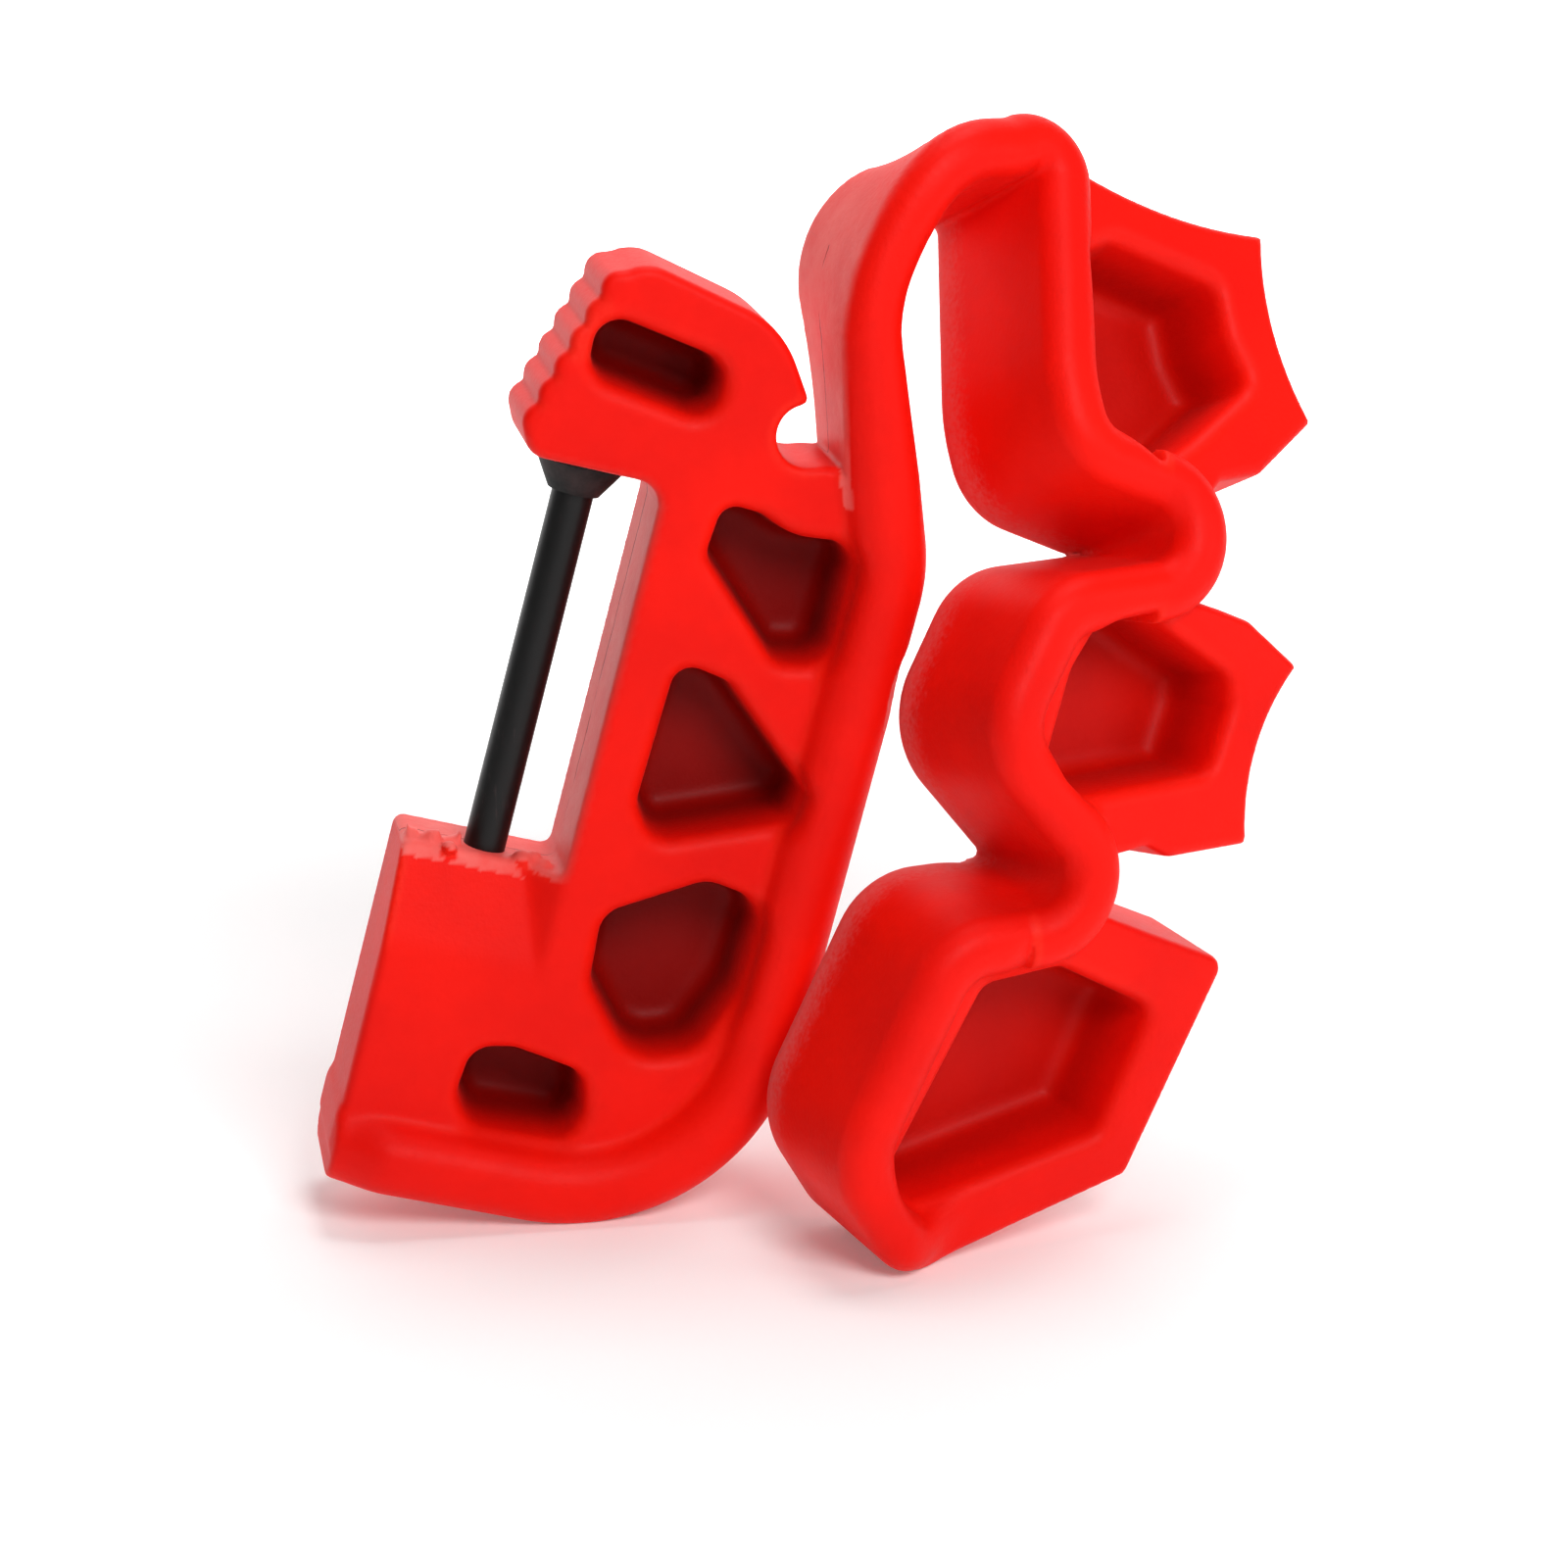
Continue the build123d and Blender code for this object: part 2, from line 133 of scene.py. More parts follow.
def rounded(corners, radii, closed=True):
    """Outline with an arc at each corner, as points."""
    pts = np.array(corners, float)
    n = len(pts)
    out = []
    for i in range(n):
        r = radii[i] if hasattr(radii, "__len__") else radii
        if r <= 0 or (not closed and i in (0, n - 1)):
            out.append(pts[i])
            continue
        before, after = pts[i - 1] - pts[i], pts[(i + 1) % n] - pts[i]
        a, b = np.linalg.norm(before), np.linalg.norm(after)
        before, after = before / a, after / b
        half = math.acos(float(np.clip(before @ after, -1, 1))) / 2
        cut = min(r / math.tan(half), 0.49 * a, 0.49 * b)
        r = cut * math.tan(half)
        centre = pts[i] + (before + after) / np.linalg.norm(before + after) * r / math.sin(half)
        start, end = pts[i] + before * cut - centre, pts[i] + after * cut - centre
        turn = math.atan2(start[0] * end[1] - start[1] * end[0], start @ end)
        steps = max(2, int(abs(turn) * r / 0.6) + int(abs(turn) / 0.12))
        for k in range(steps + 1):
            t = turn * k / steps
            c, s = math.cos(t), math.sin(t)
            out.append(centre + (start[0] * c - start[1] * s, start[0] * s + start[1] * c))
    return np.array(out)


def bowed(start, end, hollow, steps=12):
    """Points from start towards end along a side that is hollow to its right, end left out."""
    a, b = np.array(start, float), np.array(end, float)
    d = (b - a) / np.linalg.norm(b - a)
    inward = np.array([d[1], -d[0]])
    return [a + (b - a) * k / steps + inward * hollow * 4 * k / steps * (1 - k / steps) for k in range(steps)]


def ramp(values, low, high):
    """Smooth rise from 0 at low to 1 at high."""
    t = np.clip((values - low) / (high - low), 0, 1)
    return t * t * (3 - 2 * t)


class Flat:
    """Distances in a block's plane, kept on a fine grid: to a closed outline or to an open line."""

    STEP = 0.5

    def __init__(self, points, closed=True, reach=12.0):
        points = np.asarray(points, float)
        self.low = points.min(0) - reach
        shape = np.ceil((points.max(0) + reach - self.low) / self.STEP).astype(int) + 1
        x = self.low[0] + self.STEP * np.arange(shape[0])[:, None]
        y = self.low[1] + self.STEP * np.arange(shape[1])[None, :]
        best = np.full(shape, 1e9)
        inside = np.zeros(shape, bool)
        ends = list(zip(points, np.roll(points, -1, 0)))
        for a, b in ends if closed else ends[:-1]:
            d = b - a
            length = float(d @ d)
            if length < 1e-12:
                continue
            t = np.clip(((x - a[0]) * d[0] + (y - a[1]) * d[1]) / length, 0, 1)
            best = np.minimum(best, (x - a[0] - t * d[0]) ** 2 + (y - a[1] - t * d[1]) ** 2)
            if closed and a[1] != b[1]:
                crosses = ((a[1] > y) != (b[1] > y)) & (x < a[0] + (y - a[1]) * d[0] / d[1])
                inside ^= crosses
        self.grid = np.sqrt(best)
        if closed:
            self.grid = np.where(inside, -self.grid, self.grid)

    def __call__(self, x, y):
        fx = np.clip((x - self.low[0]) / self.STEP, 0, self.grid.shape[0] - 1.001)
        fy = np.clip((y - self.low[1]) / self.STEP, 0, self.grid.shape[1] - 1.001)
        i, j = fx.astype(int), fy.astype(int)
        u, v = fx - i, fy - j
        g = self.grid
        near = g[i, j] * (1 - u) + g[i + 1, j] * u
        far = g[i, j + 1] * (1 - u) + g[i + 1, j + 1] * u
        return near * (1 - v) + far * v


# ---------------------------------------------------------------- distance fields


def smooth_min(a, b, k):
    h = np.clip(0.5 + 0.5 * (b - a) / k, 0, 1)
    return b + (a - b) * h - k * h * (1 - h)


def smooth_max(a, b, k):
    return -smooth_min(-a, -b, k)


def rounded_box(a, b, r):
    """Distance to a section whose two half-distances are a and b, with corners of radius r."""
    p, q = a + r, b + r
    return np.hypot(np.maximum(p, 0), np.maximum(q, 0)) + np.minimum(np.maximum(p, q), 0) - r


def rolled(across, along_width, thickness, width_half=BAND_HALF):
    """Section of the rolled band: flat in the middle of its width and round at its edges."""
    return rounded_box(across - thickness / 2, np.abs(along_width) - width_half, 0.46 * thickness)


def narrowed(along, start, end, width_half):
    """Half width of a band that narrows smoothly from its full width between two places."""
    return BAND_HALF - (BAND_HALF - width_half) * ramp(along, start, end)


def carve(body, pocket, z, k=3.6):
    """Takes a drafted blind pocket out of a body, its edge and the foot of its walls rounded."""
    depth = WEB_HALF - z
    walls = pocket - RIM + np.maximum(depth, 0) * DRAFT
    hollow = smooth_max(walls, depth - FLOOR_DEPTH, 4.0)
    return smooth_max(body, -hollow, k)


class BlockField:
    """One block: a flat web with pockets, and the rolled band that closes it."""

    def __init__(self, plane, outline, line, thickness, pockets, ends, edge=2.0, blend=3.0):
        self.plane = plane
        self.web, self.line = Flat(outline), Flat(line, closed=False)
        self.pockets = [Flat(p) for p in pockets]
        self.thickness, self.ends, self.edge, self.blend = thickness, ends, edge, blend
        low = np.minimum(outline.min(0), line.min(0)) - thickness
        high = np.maximum(outline.max(0), line.max(0)) + thickness
        reach = BAND_HALF + 3
        corners = [
            plane.world(x, y, z)
            for x in (low[0], high[0])
            for y in (low[1], high[1])
            for z in (-reach, reach)
        ]
        self.low, self.high = np.min(corners, 0), np.max(corners, 0)

    def shape(self, x, y, z, web):
        return web

    def width_half(self, x, y):
        return BAND_HALF

    def __call__(self, points):
        x, y, z = self.plane.local(points).T
        web = rounded_box(self.web(x, y), np.abs(z) - WEB_HALF, self.edge)
        web = self.shape(x, y, z, web)
        band = rolled(self.line(x, y), z, self.thickness, self.width_half(x, y))
        for (px, py), (dx, dy) in self.ends:
            band = smooth_max(band, (x - px) * dx + (y - py) * dy - OVERLAP, 1.5)
        d = smooth_min(web, band, self.blend)
        for pocket in self.pockets:
            d = carve(d, pocket(x, y), z)
        return d


class LowerField(BlockField):
    """The lower pad: its band runs out into the flat web past the lowest corner."""

    def width_half(self, x, y):
        return narrowed(x + 0.35 * (-LOWER_H - y), -33.0, -14.0, WEB_HALF - 1.0)


class FrameField(BlockField):
    """The frame block: also the sloped relief on its foot, the finger lobes and the notch."""

    def width_half(self, x, y):
        return narrowed(-x, FOOT_REACH - 12, FOOT_REACH + 1, WEB_HALF + 2.5)

    def shape(self, x, y, z, web):
        flat = z - WEB_HALF
        slope = (flat + FACET_DEPTH * (1 + y / FACET_H)) * 0.95
        side = (flat + FACET_DEPTH) * 0.72 - (x - 8.0) * 0.69
        web = np.where(y < 20, smooth_max(web, smooth_min(slope, side, 1.2), 1.2), web)
        for i in range(LOBES):
            rise = LOBE_START + LOBE_RUN * i / (LOBES - 1)
            cx = 13 * rise / HEAD_H - HEAD_REACH + 2.3
            lobe = np.hypot(x - cx, y - MOUTH_H - rise) - LOBE_R
            web = smooth_min(web, rounded_box(lobe, np.abs(z) - WEB_HALF, 1.8), 0.9)
        web = smooth_min(web, self.flash(x, y, z), 0.8)
        notch = np.hypot(x - NOTCH[0], y - NOTCH[1]) - NOTCH_R
        return smooth_max(web, -notch, 1.6)

    @staticmethod
    def flash(x, y, z):
        """Torn flash left on the foot's top: a ragged ridge on one side of the bar, lumps on the other."""
        height = 1.7 + 0.8 * np.sin(1.1 * x + 1.3) + 0.5 * np.sin(2.9 * x)
        wander = np.abs(z - 3.5 + 0.9 * np.sin(0.7 * x)) - 1.5
        sides = np.maximum(x + 5.4, -x - FOOT_REACH + 0.8)
        ridge = np.maximum(np.maximum(wander, np.maximum(y - height, -3 - y)), sides)
        for cx, cy, cz, r in FLASH_LUMPS:
            lump = np.sqrt((x - cx) ** 2 + 1.6 * (y - cy) ** 2 + 0.6 * (z - cz) ** 2) - r
            ridge = np.minimum(ridge, lump)
        return ridge


class Ribbon:
    """Band along a path in space, given as stations: centre, way, width direction, thickness."""

    def __init__(self, centres, widths, thickness):
        self.c = np.array(centres)
        ways = np.gradient(self.c, axis=0)
        self.t = ways / np.linalg.norm(ways, axis=1)[:, None]
        w = np.array(widths)
        w -= self.t * (w * self.t).sum(1)[:, None]
        self.w = w / np.linalg.norm(w, axis=1)[:, None]
        self.n = np.cross(self.w, self.t)
        self.thick = np.broadcast_to(thickness, (len(self.c),)).astype(float)
        steps = np.linalg.norm(np.diff(self.c, axis=0), axis=1)
        self.s = np.concatenate([[0], np.cumsum(steps)])
        self.length = self.s[-1]
        self.low, self.high = self.c.min(0) - 26, self.c.max(0) + 26

    def place(self, points):
        """Length along the path, distance off it, and place across the width, of each point."""
        best = np.full(len(points), 1e9)
        s, u, v = np.zeros(len(points)), np.zeros(len(points)), np.zeros(len(points))
        half = np.zeros(len(points))
        for i in range(len(self.c)):
            p = points - self.c[i]
            along, off = p @ self.t[i], p @ self.n[i]
            cost = np.abs(along) + 3 * np.maximum(np.abs(off) - self.thick[i] / 2 - 3.0, 0)
            take = cost < best
            best[take] = cost[take]
            s[take] = (self.s[i] + along)[take]
            u[take], v[take], half[take] = off[take], (p @ self.w[i])[take], self.thick[i]
        return s, u, v, half

    def __call__(self, points, clip=OVERLAP):
        s, u, v, thick = self.place(points)
        beyond = np.maximum(-s, s - self.length) - clip
        return np.maximum(rolled(np.abs(u), v, thick), beyond)


def cubic(points, start, end, count):
    """Smooth curve through points, with its directions at both ends, as evenly counted points."""
    p = np.array(points)
    h = np.linalg.norm(np.diff(p, axis=0), axis=1)
    n = len(p)
    a, b = np.zeros((n, n)), np.zeros((n, 3))
    a[0, 0] = a[-1, -1] = 1
    b[0], b[-1] = start, end
    for i in range(1, n - 1):
        a[i, i - 1], a[i, i], a[i, i + 1] = h[i], 2 * (h[i - 1] + h[i]), h[i - 1]
        b[i] = 3 * (h[i] * (p[i] - p[i - 1]) / h[i - 1] + h[i - 1] * (p[i + 1] - p[i]) / h[i])
    m = np.linalg.solve(a, b)
    knots = np.concatenate([[0], np.cumsum(h)])
    out = []
    for t in np.linspace(0, knots[-1], count):
        i = min(int(np.searchsorted(knots, t, side="right")) - 1, n - 2)
        x = (t - knots[i]) / h[i]
        out.append(
            (2 * x**3 - 3 * x**2 + 1) * p[i]
            + (x**3 - 2 * x**2 + x) * h[i] * m[i]
            + (3 * x**2 - 2 * x**3) * p[i + 1]
            + (x**3 - x**2) * h[i] * m[i + 1]
        )
    return np.array(out)


def fold(planes, radius, angles, count=72):
    """Ribbon that turns round a crease, from the first plane's attitude to the last one's."""
    centres, widths = [], []
    for k in range(count):
        share = k / (count - 1)
        yaw, pitch = (np.array(planes[0]) * (1 - share) + np.array(planes[1]) * share)
        plane = turned(planes[2], yaw, pitch)
        x, y = polar(radius, angles[0] + (angles[1] - angles[0]) * share)
        centres.append(plane.world(x, y))
        widths.append(plane.axes[2])
    return Ribbon(centres, widths, STRAP_T)


# ---------------------------------------------------------------- the object, block by block

bar_low, bar_high = (np.array(c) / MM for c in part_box("grip_bar"))
lean = math.radians(LEAN)
FRAME_AXES = ((math.cos(lean), 0, -math.sin(lean)), (math.sin(lean), 0, math.cos(lean)), (0, -1, 0))
bar_middle = (MOUTH_H + HEAD_EMBED - FOOT_EMBED) / 2
FRAME = Block((bar_low + bar_high) / 2 - bar_middle * np.array(FRAME_AXES[1]), *FRAME_AXES)
crest = FRAME.world(FRAME_W + CREST_OFFSET, MOUTH_H + CREST_RISE, -CREST_BACK)
UPPER = turned(crest, *UPPER_TURN)
MIDDLE = turned(UPPER.world(UPPER_SHIFT, -UPPER_H), *MIDDLE_TURN)
LOWER = turned(MIDDLE.world(MIDDLE_SHIFT, -MIDDLE_H), *LOWER_TURN)
NOTCH = (FRAME_W - 22.8, MOUTH_H + 16.0)


def heading(degrees):
    return (math.cos(math.radians(degrees)), math.sin(math.radians(degrees)))


def frame_block():
    """Foot, spine and head, with the thick band along the underside and the outer side."""
    neck_foot = (FRAME_W - 6.5, MOUTH_H + 11.0)
    corners = [(-FOOT_REACH, -FOOT_H), (FRAME_W, -FOOT_H), (FRAME_W, MOUTH_H - 6), neck_foot]
    line = rounded(corners, [0, 43, 30, 0], closed=False)
    top = MOUTH_H + HEAD_H
    outline = rounded(
        corners
        + [
            (NOTCH[0] - 2.5, MOUTH_H + 11),
            (NOTCH[0] - 1, MOUTH_H + 22),
            (NOTCH[0] - 10.5, top - 7),
            (13 - HEAD_REACH, top),
            (-HEAD_REACH, MOUTH_H),
            (BAR_GAP, MOUTH_H),
            (BAR_GAP, 0),
            (-FOOT_REACH, 0),
        ],
        [0, 43, 30, 0, 0, 2.5, 22, 9, 5, 5, 2, 2],
    )
    left, right, rib, floor = BAR_GAP + 13, FRAME_W - FRAME_BAND_T / 2 - 0.8, MOUTH_H - 28, 7.5 - FOOT_H
    pockets = [
        rounded([(-5.2, top - 12.4), (21.5, top - 16.6), (21.3, top - 28.8), (-4.8, top - 25)], 5.4),
        rounded(
            [(left, MOUTH_H - 1), (left + 8, MOUTH_H - 1.5), (left + 15, MOUTH_H - 4.5),
             (right + 1, MOUTH_H - 3), (right + 1, rib), (right - 9, rib - 2), (left - 1, rib + 16)],
            [3.5, 6, 14, 5, 7, 5, 5],
        ),
        rounded([(left - 1, rib - 6), (left + 10, rib - 8), (right + 3, rib - 26), (right + 2, rib - 33),
                 (left + 3, 11), (left - 2, 18)], [4, 4.5, 3, 4, 6, 6]),
        rounded([(left - 3, -6), (right - 11, 5), (right + 1.5, 3), (right + 1, floor + 40),
                 (right - 5, floor + 26), (right - 17, floor + 22), (left - 2, floor + 36)],
                [6, 7, 8, 14, 9, 9, 8]),
        rounded([(6, floor + 18), (14, floor + 19.5), (29, floor + 17), (31, floor + 9), (29, floor + 2.5),
                 (9, floor + 2), (5, floor + 8)], [6, 6, 5, 5, 6, 6, 5]),
    ]
    d = np.array(neck_foot) - np.array(corners[2])
    d /= np.linalg.norm(d)
    ends = [((OVERLAP - FOOT_REACH, 0), (-1, 0)), (neck_foot, d)]
    run_on = np.vstack([line[:1] - (9, 0), line, line[-1:] + d * 3])
    return FrameField(FRAME, outline, run_on, FRAME_BAND_T, pockets, ends)


def upper_block():
    start = polar(FOLD_R, CREST_OUT)
    end = polar(MID_FOLD_R, MID_IN, (UPPER_SHIFT, -UPPER_H))
    corners = [start, polar(UPPER_H - 31.3, CREST_OUT - 90, start), polar(21, MID_IN + 90, end), end]
    line = rounded(corners, [0, 40, 10, 0], closed=False)
    right, foot = UPPER_REACH, -UPPER_H
    outline = np.vstack([
        bowed((15, 1), (right, -17), 2.5),
        bowed((right, -17), (right - 1.5, foot + 15.3), 3.5),
        rounded([(right - 1.5, foot + 15.3), (right - 19, foot + 6.8), (right - 30, foot + 6.8),
                 (right - 39, foot + 0.3)], [0, 2, 3, 0], closed=False),
        line[::-1],
    ])
    pocket = rounded(
        [(8, -16), (19, -14.5), (right - 16.5, -26), (right - 17.5, -37), (right - 15, foot + 25),
         (24, foot + 16), (10, foot + 11), (4.5, foot + 20), (5, -35)],
        [4, 5, 4, 3, 4, 8, 4, 6, 12],
    )
    ends = [(start, heading(CREST_OUT + 90)), (end, heading(MID_IN - 90))]
    before, after = (3 * np.array(way) for _, way in ends)
    run_on = np.vstack([np.array(start) + before, line, np.array(end) + after])
    return BlockField(UPPER, outline, run_on, STRAP_T, [pocket], ends)


def middle_block():
    start = polar(MID_FOLD_R, FOLD_OUT)
    end = polar(LOW_FOLD_R, LOW_IN, (MIDDLE_SHIFT, -MIDDLE_H))
    corners = [start, (MIDDLE_SHIFT + 7.5, -MID_FOLD_R), polar(27, LOW_IN + 90, end), end]
    line = rounded(corners, [0, 12, 14, 0], closed=False)
    right, foot = MIDDLE_REACH, -MIDDLE_H
    outline = np.vstack([
        rounded([(10, -12), (16, -14.5), (right - 11, -17.5), (right, -28)], [0, 2, 2, 0], closed=False),
        bowed((right, -28), (right - 15.5, foot - 1.9), 4),
        rounded([(right - 15.5, foot - 1.9), (-1, foot - 1.9), (-6, foot + 1.1), (-18, foot + 0.1)],
                [0, 2, 2, 0], closed=False),
        line[::-1],
    ])
    pocket = rounded(
        [(-13, -14), (-3, -13), (right - 17, -28), (right - 17.5, -34), (10, foot + 14),
         (-21, foot + 13.5), (-28, foot + 20), (-20, -22)],
        [5, 6, 3.5, 3.5, 4, 5, 5, 10],
    )
    ends = [(start, (1, 0)), (end, heading(LOW_IN - 90))]
    run_on = np.vstack([np.array(start) + (3, 0), line, np.array(end) + 3 * np.array(ends[1][1])])
    return BlockField(MIDDLE, outline, run_on, STRAP_T, [pocket], ends)


def lower_block():
    start = polar(LOW_FOLD_R, FOLD_OUT)
    right, foot = LOWER_REACH, -LOWER_H
    corners = [start, (-19, -LOW_FOLD_R), (-39.5, foot + 26.85), (-26.5, foot + 5.4), (-8, foot + 10.5)]
    line = rounded(corners, [0, 12, 16, 7, 0], closed=False)
    outline = np.vstack([
        rounded([(10, -6), (right, -22), (right - 21, foot + 12.85), (-24, foot), (-30, foot + 6.0)],
                [0, 3, 3, 6, 0], closed=False),
        rounded([start, (-19, -LOW_FOLD_R), (-39.5, foot + 26.85), (-28, foot + 7.85)],
                [0, 12, 16, 0], closed=False)[::-1],
    ])
    pocket = rounded(
        [(-10, -20), (7, -18.5), (right - 16.5, -30), (right - 28, foot + 23),
         (-26, foot + 14), (-30.5, foot + 21)],
        [4, 5, 4, 3.5, 4, 6],
    )
    ends = [(start, (1, 0))]
    run_on = np.vstack([np.array(start) + (3, 0), line])
    return LowerField(LOWER, outline, run_on, STRAP_T, [pocket], ends)


def neck_ribbon():
    """Bare neck from the frame's band to the crest, twisting from one plane to the other."""
    foot = FRAME.world(FRAME_W - 6.5, MOUTH_H + 11.0)
    leave = np.array([-6.5, 17.0, 0]) @ FRAME.axes
    top_angle = CREST_OUT + CREST_TURN
    top = UPPER.world(*polar(FOLD_R, top_angle))
    arrive = np.array([*heading(top_angle - 90), 0]) @ UPPER.axes
    way = [FRAME.world(FRAME_W - x, MOUTH_H + y, -z) for x, y, z in NECK_WAY]
    count = 120
    line = cubic([foot, *way, top], leave / np.linalg.norm(leave), arrive, count)
    share = np.linspace(0, 1, count)
    twist = np.interp(share, (0, 0.19, 0.38, 0.55, 0.75, 0.9, 1), (0, 0.03, 0.12, 0.38, 0.78, 1, 1))
    twist = np.convolve(np.pad(twist, 9, "edge"), np.hanning(21)[1:-1] / 10, "valid")
    widths = FRAME.axes[2] * (1 - twist)[:, None] + UPPER.axes[2] * twist[:, None]
    return line, widths, np.interp(share, (0, 0.38), (FRAME_BAND_T, STRAP_T))


neck_line, neck_widths, neck_thickness = neck_ribbon()
root_count = int(ROOT_END * len(neck_line))


def neck_span(first, last):
    """Ribbon along the neck from one of its stations up to another."""
    span = slice(first, last)
    return Ribbon(neck_line[span], neck_widths[span], neck_thickness[span])


crest_angles = (CREST_OUT + CREST_TURN, CREST_OUT)
FIELDS = {
    "frame_skin": frame_block(),
    "neck_root_skin": neck_span(0, root_count + 1),
    "neck_strap_skin": neck_span(root_count, len(neck_line)),
    "crest_fold_skin": fold((UPPER_TURN, UPPER_TURN, crest), FOLD_R, crest_angles),
    "upper_pad_skin": upper_block(),
    "middle_fold_skin": fold((UPPER_TURN, MIDDLE_TURN, MIDDLE.origin), MID_FOLD_R, (MID_IN, FOLD_OUT)),
    "middle_pad_skin": middle_block(),
    "lower_fold_skin": fold((MIDDLE_TURN, LOWER_TURN, LOWER.origin), LOW_FOLD_R, (LOW_IN, FOLD_OUT)),
    "lower_pad_skin": lower_block(),
}
NAMES = list(FIELDS)


# ---------------------------------------------------------------- meshing the union


class Volume:
    """Values of the union of all fields on a grid, and what is read between its points."""

    def __init__(self):
        low, high = (np.array(c) / MM for c in cad_box)
        self.low = low - MARGIN
        self.shape = np.ceil((high + MARGIN - self.low) / VOXEL).astype(int) + 1
        pads, frame_side = (np.full(self.shape, MARGIN, np.float32) for _ in range(2))
        for name, field in FIELDS.items():
            self.lay(field, frame_side if name in ("frame_skin", "neck_root_skin") else pads)
        strap = np.full(self.shape, MARGIN, np.float32)
        self.lay(FIELDS["neck_strap_skin"], strap)
        apart = np.where(strap < pads + 0.01, -MARGIN, GAP - pads)
        self.values = np.minimum(np.maximum(frame_side, apart), pads)

    def lay(self, field, values):
        a = np.clip(np.floor((field.low - 2 - self.low) / VOXEL).astype(int), 0, self.shape)
        b = np.clip(np.ceil((field.high + 2 - self.low) / VOXEL).astype(int), 0, self.shape)
        lines = [self.low[i] + VOXEL * np.arange(a[i], b[i]) for i in range(3)]
        grid = np.stack(np.meshgrid(*lines, indexing="ij"), -1).reshape(-1, 3)
        part = values[a[0] : b[0], a[1] : b[1], a[2] : b[2]]
        found = field(grid).reshape(part.shape).astype(np.float32)
        np.minimum(part, found, out=part)

    def at(self, points):
        f = np.clip((points - self.low) / VOXEL, 0, np.array(self.shape) - 1.001)
        i = f.astype(int)
        t = f - i
        total = np.zeros(len(points))
        for dx in (0, 1):
            for dy in (0, 1):
                for dz in (0, 1):
                    weight = np.ones(len(points))
                    for axis, d in enumerate((dx, dy, dz)):
                        weight = weight * (t[:, axis] if d else 1 - t[:, axis])
                    total += weight * self.values[i[:, 0] + dx, i[:, 1] + dy, i[:, 2] + dz]
        return total

    def gradient(self, points, step=VOXEL * 0.75):
        g = np.empty_like(points)
        for axis in range(3):
            d = np.zeros(3)
            d[axis] = step
            g[:, axis] = (self.at(points + d) - self.at(points - d)) / (2 * step)
        return g

    def surface(self):
        """Vertices and four-sided faces of the zero surface."""
        v = self.values
        inside = v < 0
        count = np.zeros(np.array(v.shape) - 1, np.uint8)
        offsets = [(x, y, z) for x in (0, 1) for y in (0, 1) for z in (0, 1)]
        nx, ny, nz = count.shape
        for x, y, z in offsets:
            count += inside[x : x + nx, y : y + ny, z : z + nz]
        cells = np.argwhere((count > 0) & (count < 8))
        index = np.full(count.shape, -1, np.int64)
        index[tuple(cells.T)] = np.arange(len(cells))
        total, hits = np.zeros((len(cells), 3)), np.zeros(len(cells))
        for a in offsets:
            for axis in range(3):
                if a[axis]:
                    continue
                b = list(a)
                b[axis] = 1
                va, vb = v[tuple((cells + a).T)], v[tuple((cells + b).T)]
                cross = (va < 0) != (vb < 0)
                t = np.where(cross, va / np.where(cross, va - vb, 1), 0)
                point = np.tile(np.array(a, float), (len(cells), 1))
                point[:, axis] = t
                total += np.where(cross[:, None], point, 0)
                hits += cross
        verts = self.low + VOXEL * (cells + total / hits[:, None])
        faces = []
        for axis in range(3):
            other = [k for k in range(3) if k != axis]
            lo, hi = [slice(None)] * 3, [slice(None)] * 3
            lo[axis], hi[axis] = slice(0, -1), slice(1, None)
            first, second = inside[tuple(lo)], inside[tuple(hi)]
            edges = np.argwhere(first != second)
            ok = (edges[:, other] > 0).all(1) & (edges[:, other] < np.array(count.shape)[other]).all(1)
            edges = edges[ok]
            enters = second[tuple(edges.T)]
            corners = []
            for du, dv in ((1, 1), (0, 1), (0, 0), (1, 0)):
                c = edges.copy()
                c[:, other[0]] -= du
                c[:, other[1]] -= dv
                corners.append(index[tuple(c.T)])
            quad = np.stack(corners, 1)
            turn = enters if axis != 1 else ~enters
            quad[turn] = quad[turn][:, ::-1]
            faces.append(quad)
        return verts, np.vstack(faces)


def settle(volume, points, rounds=3):
    """Moves points onto the zero surface."""
    for _ in range(rounds):
        g = volume.gradient(points)
        length = np.maximum((g * g).sum(1), 0.15)
        step = g * (volume.at(points) / length)[:, None]
        size = np.linalg.norm(step, axis=1)
        points = points - step * np.minimum(1, 0.5 * VOXEL / np.maximum(size, 1e-9))[:, None]
    return points


def nearest_field(points):
    """Number of the field that each point of the surface belongs to. Folds come before blocks."""
    best, owner = np.full(len(points), 1e9), np.zeros(len(points), int)
    for number, name in enumerate(NAMES):
        field = FIELDS[name]
        near = ((points > field.low - 1) & (points < field.high + 1)).all(1)
        if isinstance(field, Ribbon):
            d = field(points[near], clip=0.0)
            d = np.where(np.abs(d) < 0.7, -1.0, 9.0)
        else:
            d = np.abs(field(points[near]))
        rows = np.flatnonzero(near)
        better = d < best[rows]
        best[rows[better]], owner[rows[better]] = d[better], number
    return owner


def side_pairs(faces):
    """Pairs of faces that share an edge."""
    edges = np.sort(np.stack([faces, np.roll(faces, -1, 1)], -1).reshape(-1, 2), 1)
    keys = edges[:, 0] * (faces.max() + 1) + edges[:, 1]
    order = np.argsort(keys, kind="stable")
    same = keys[order][1:] == keys[order][:-1]
    return order[:-1][same] // 4, order[1:][same] // 4


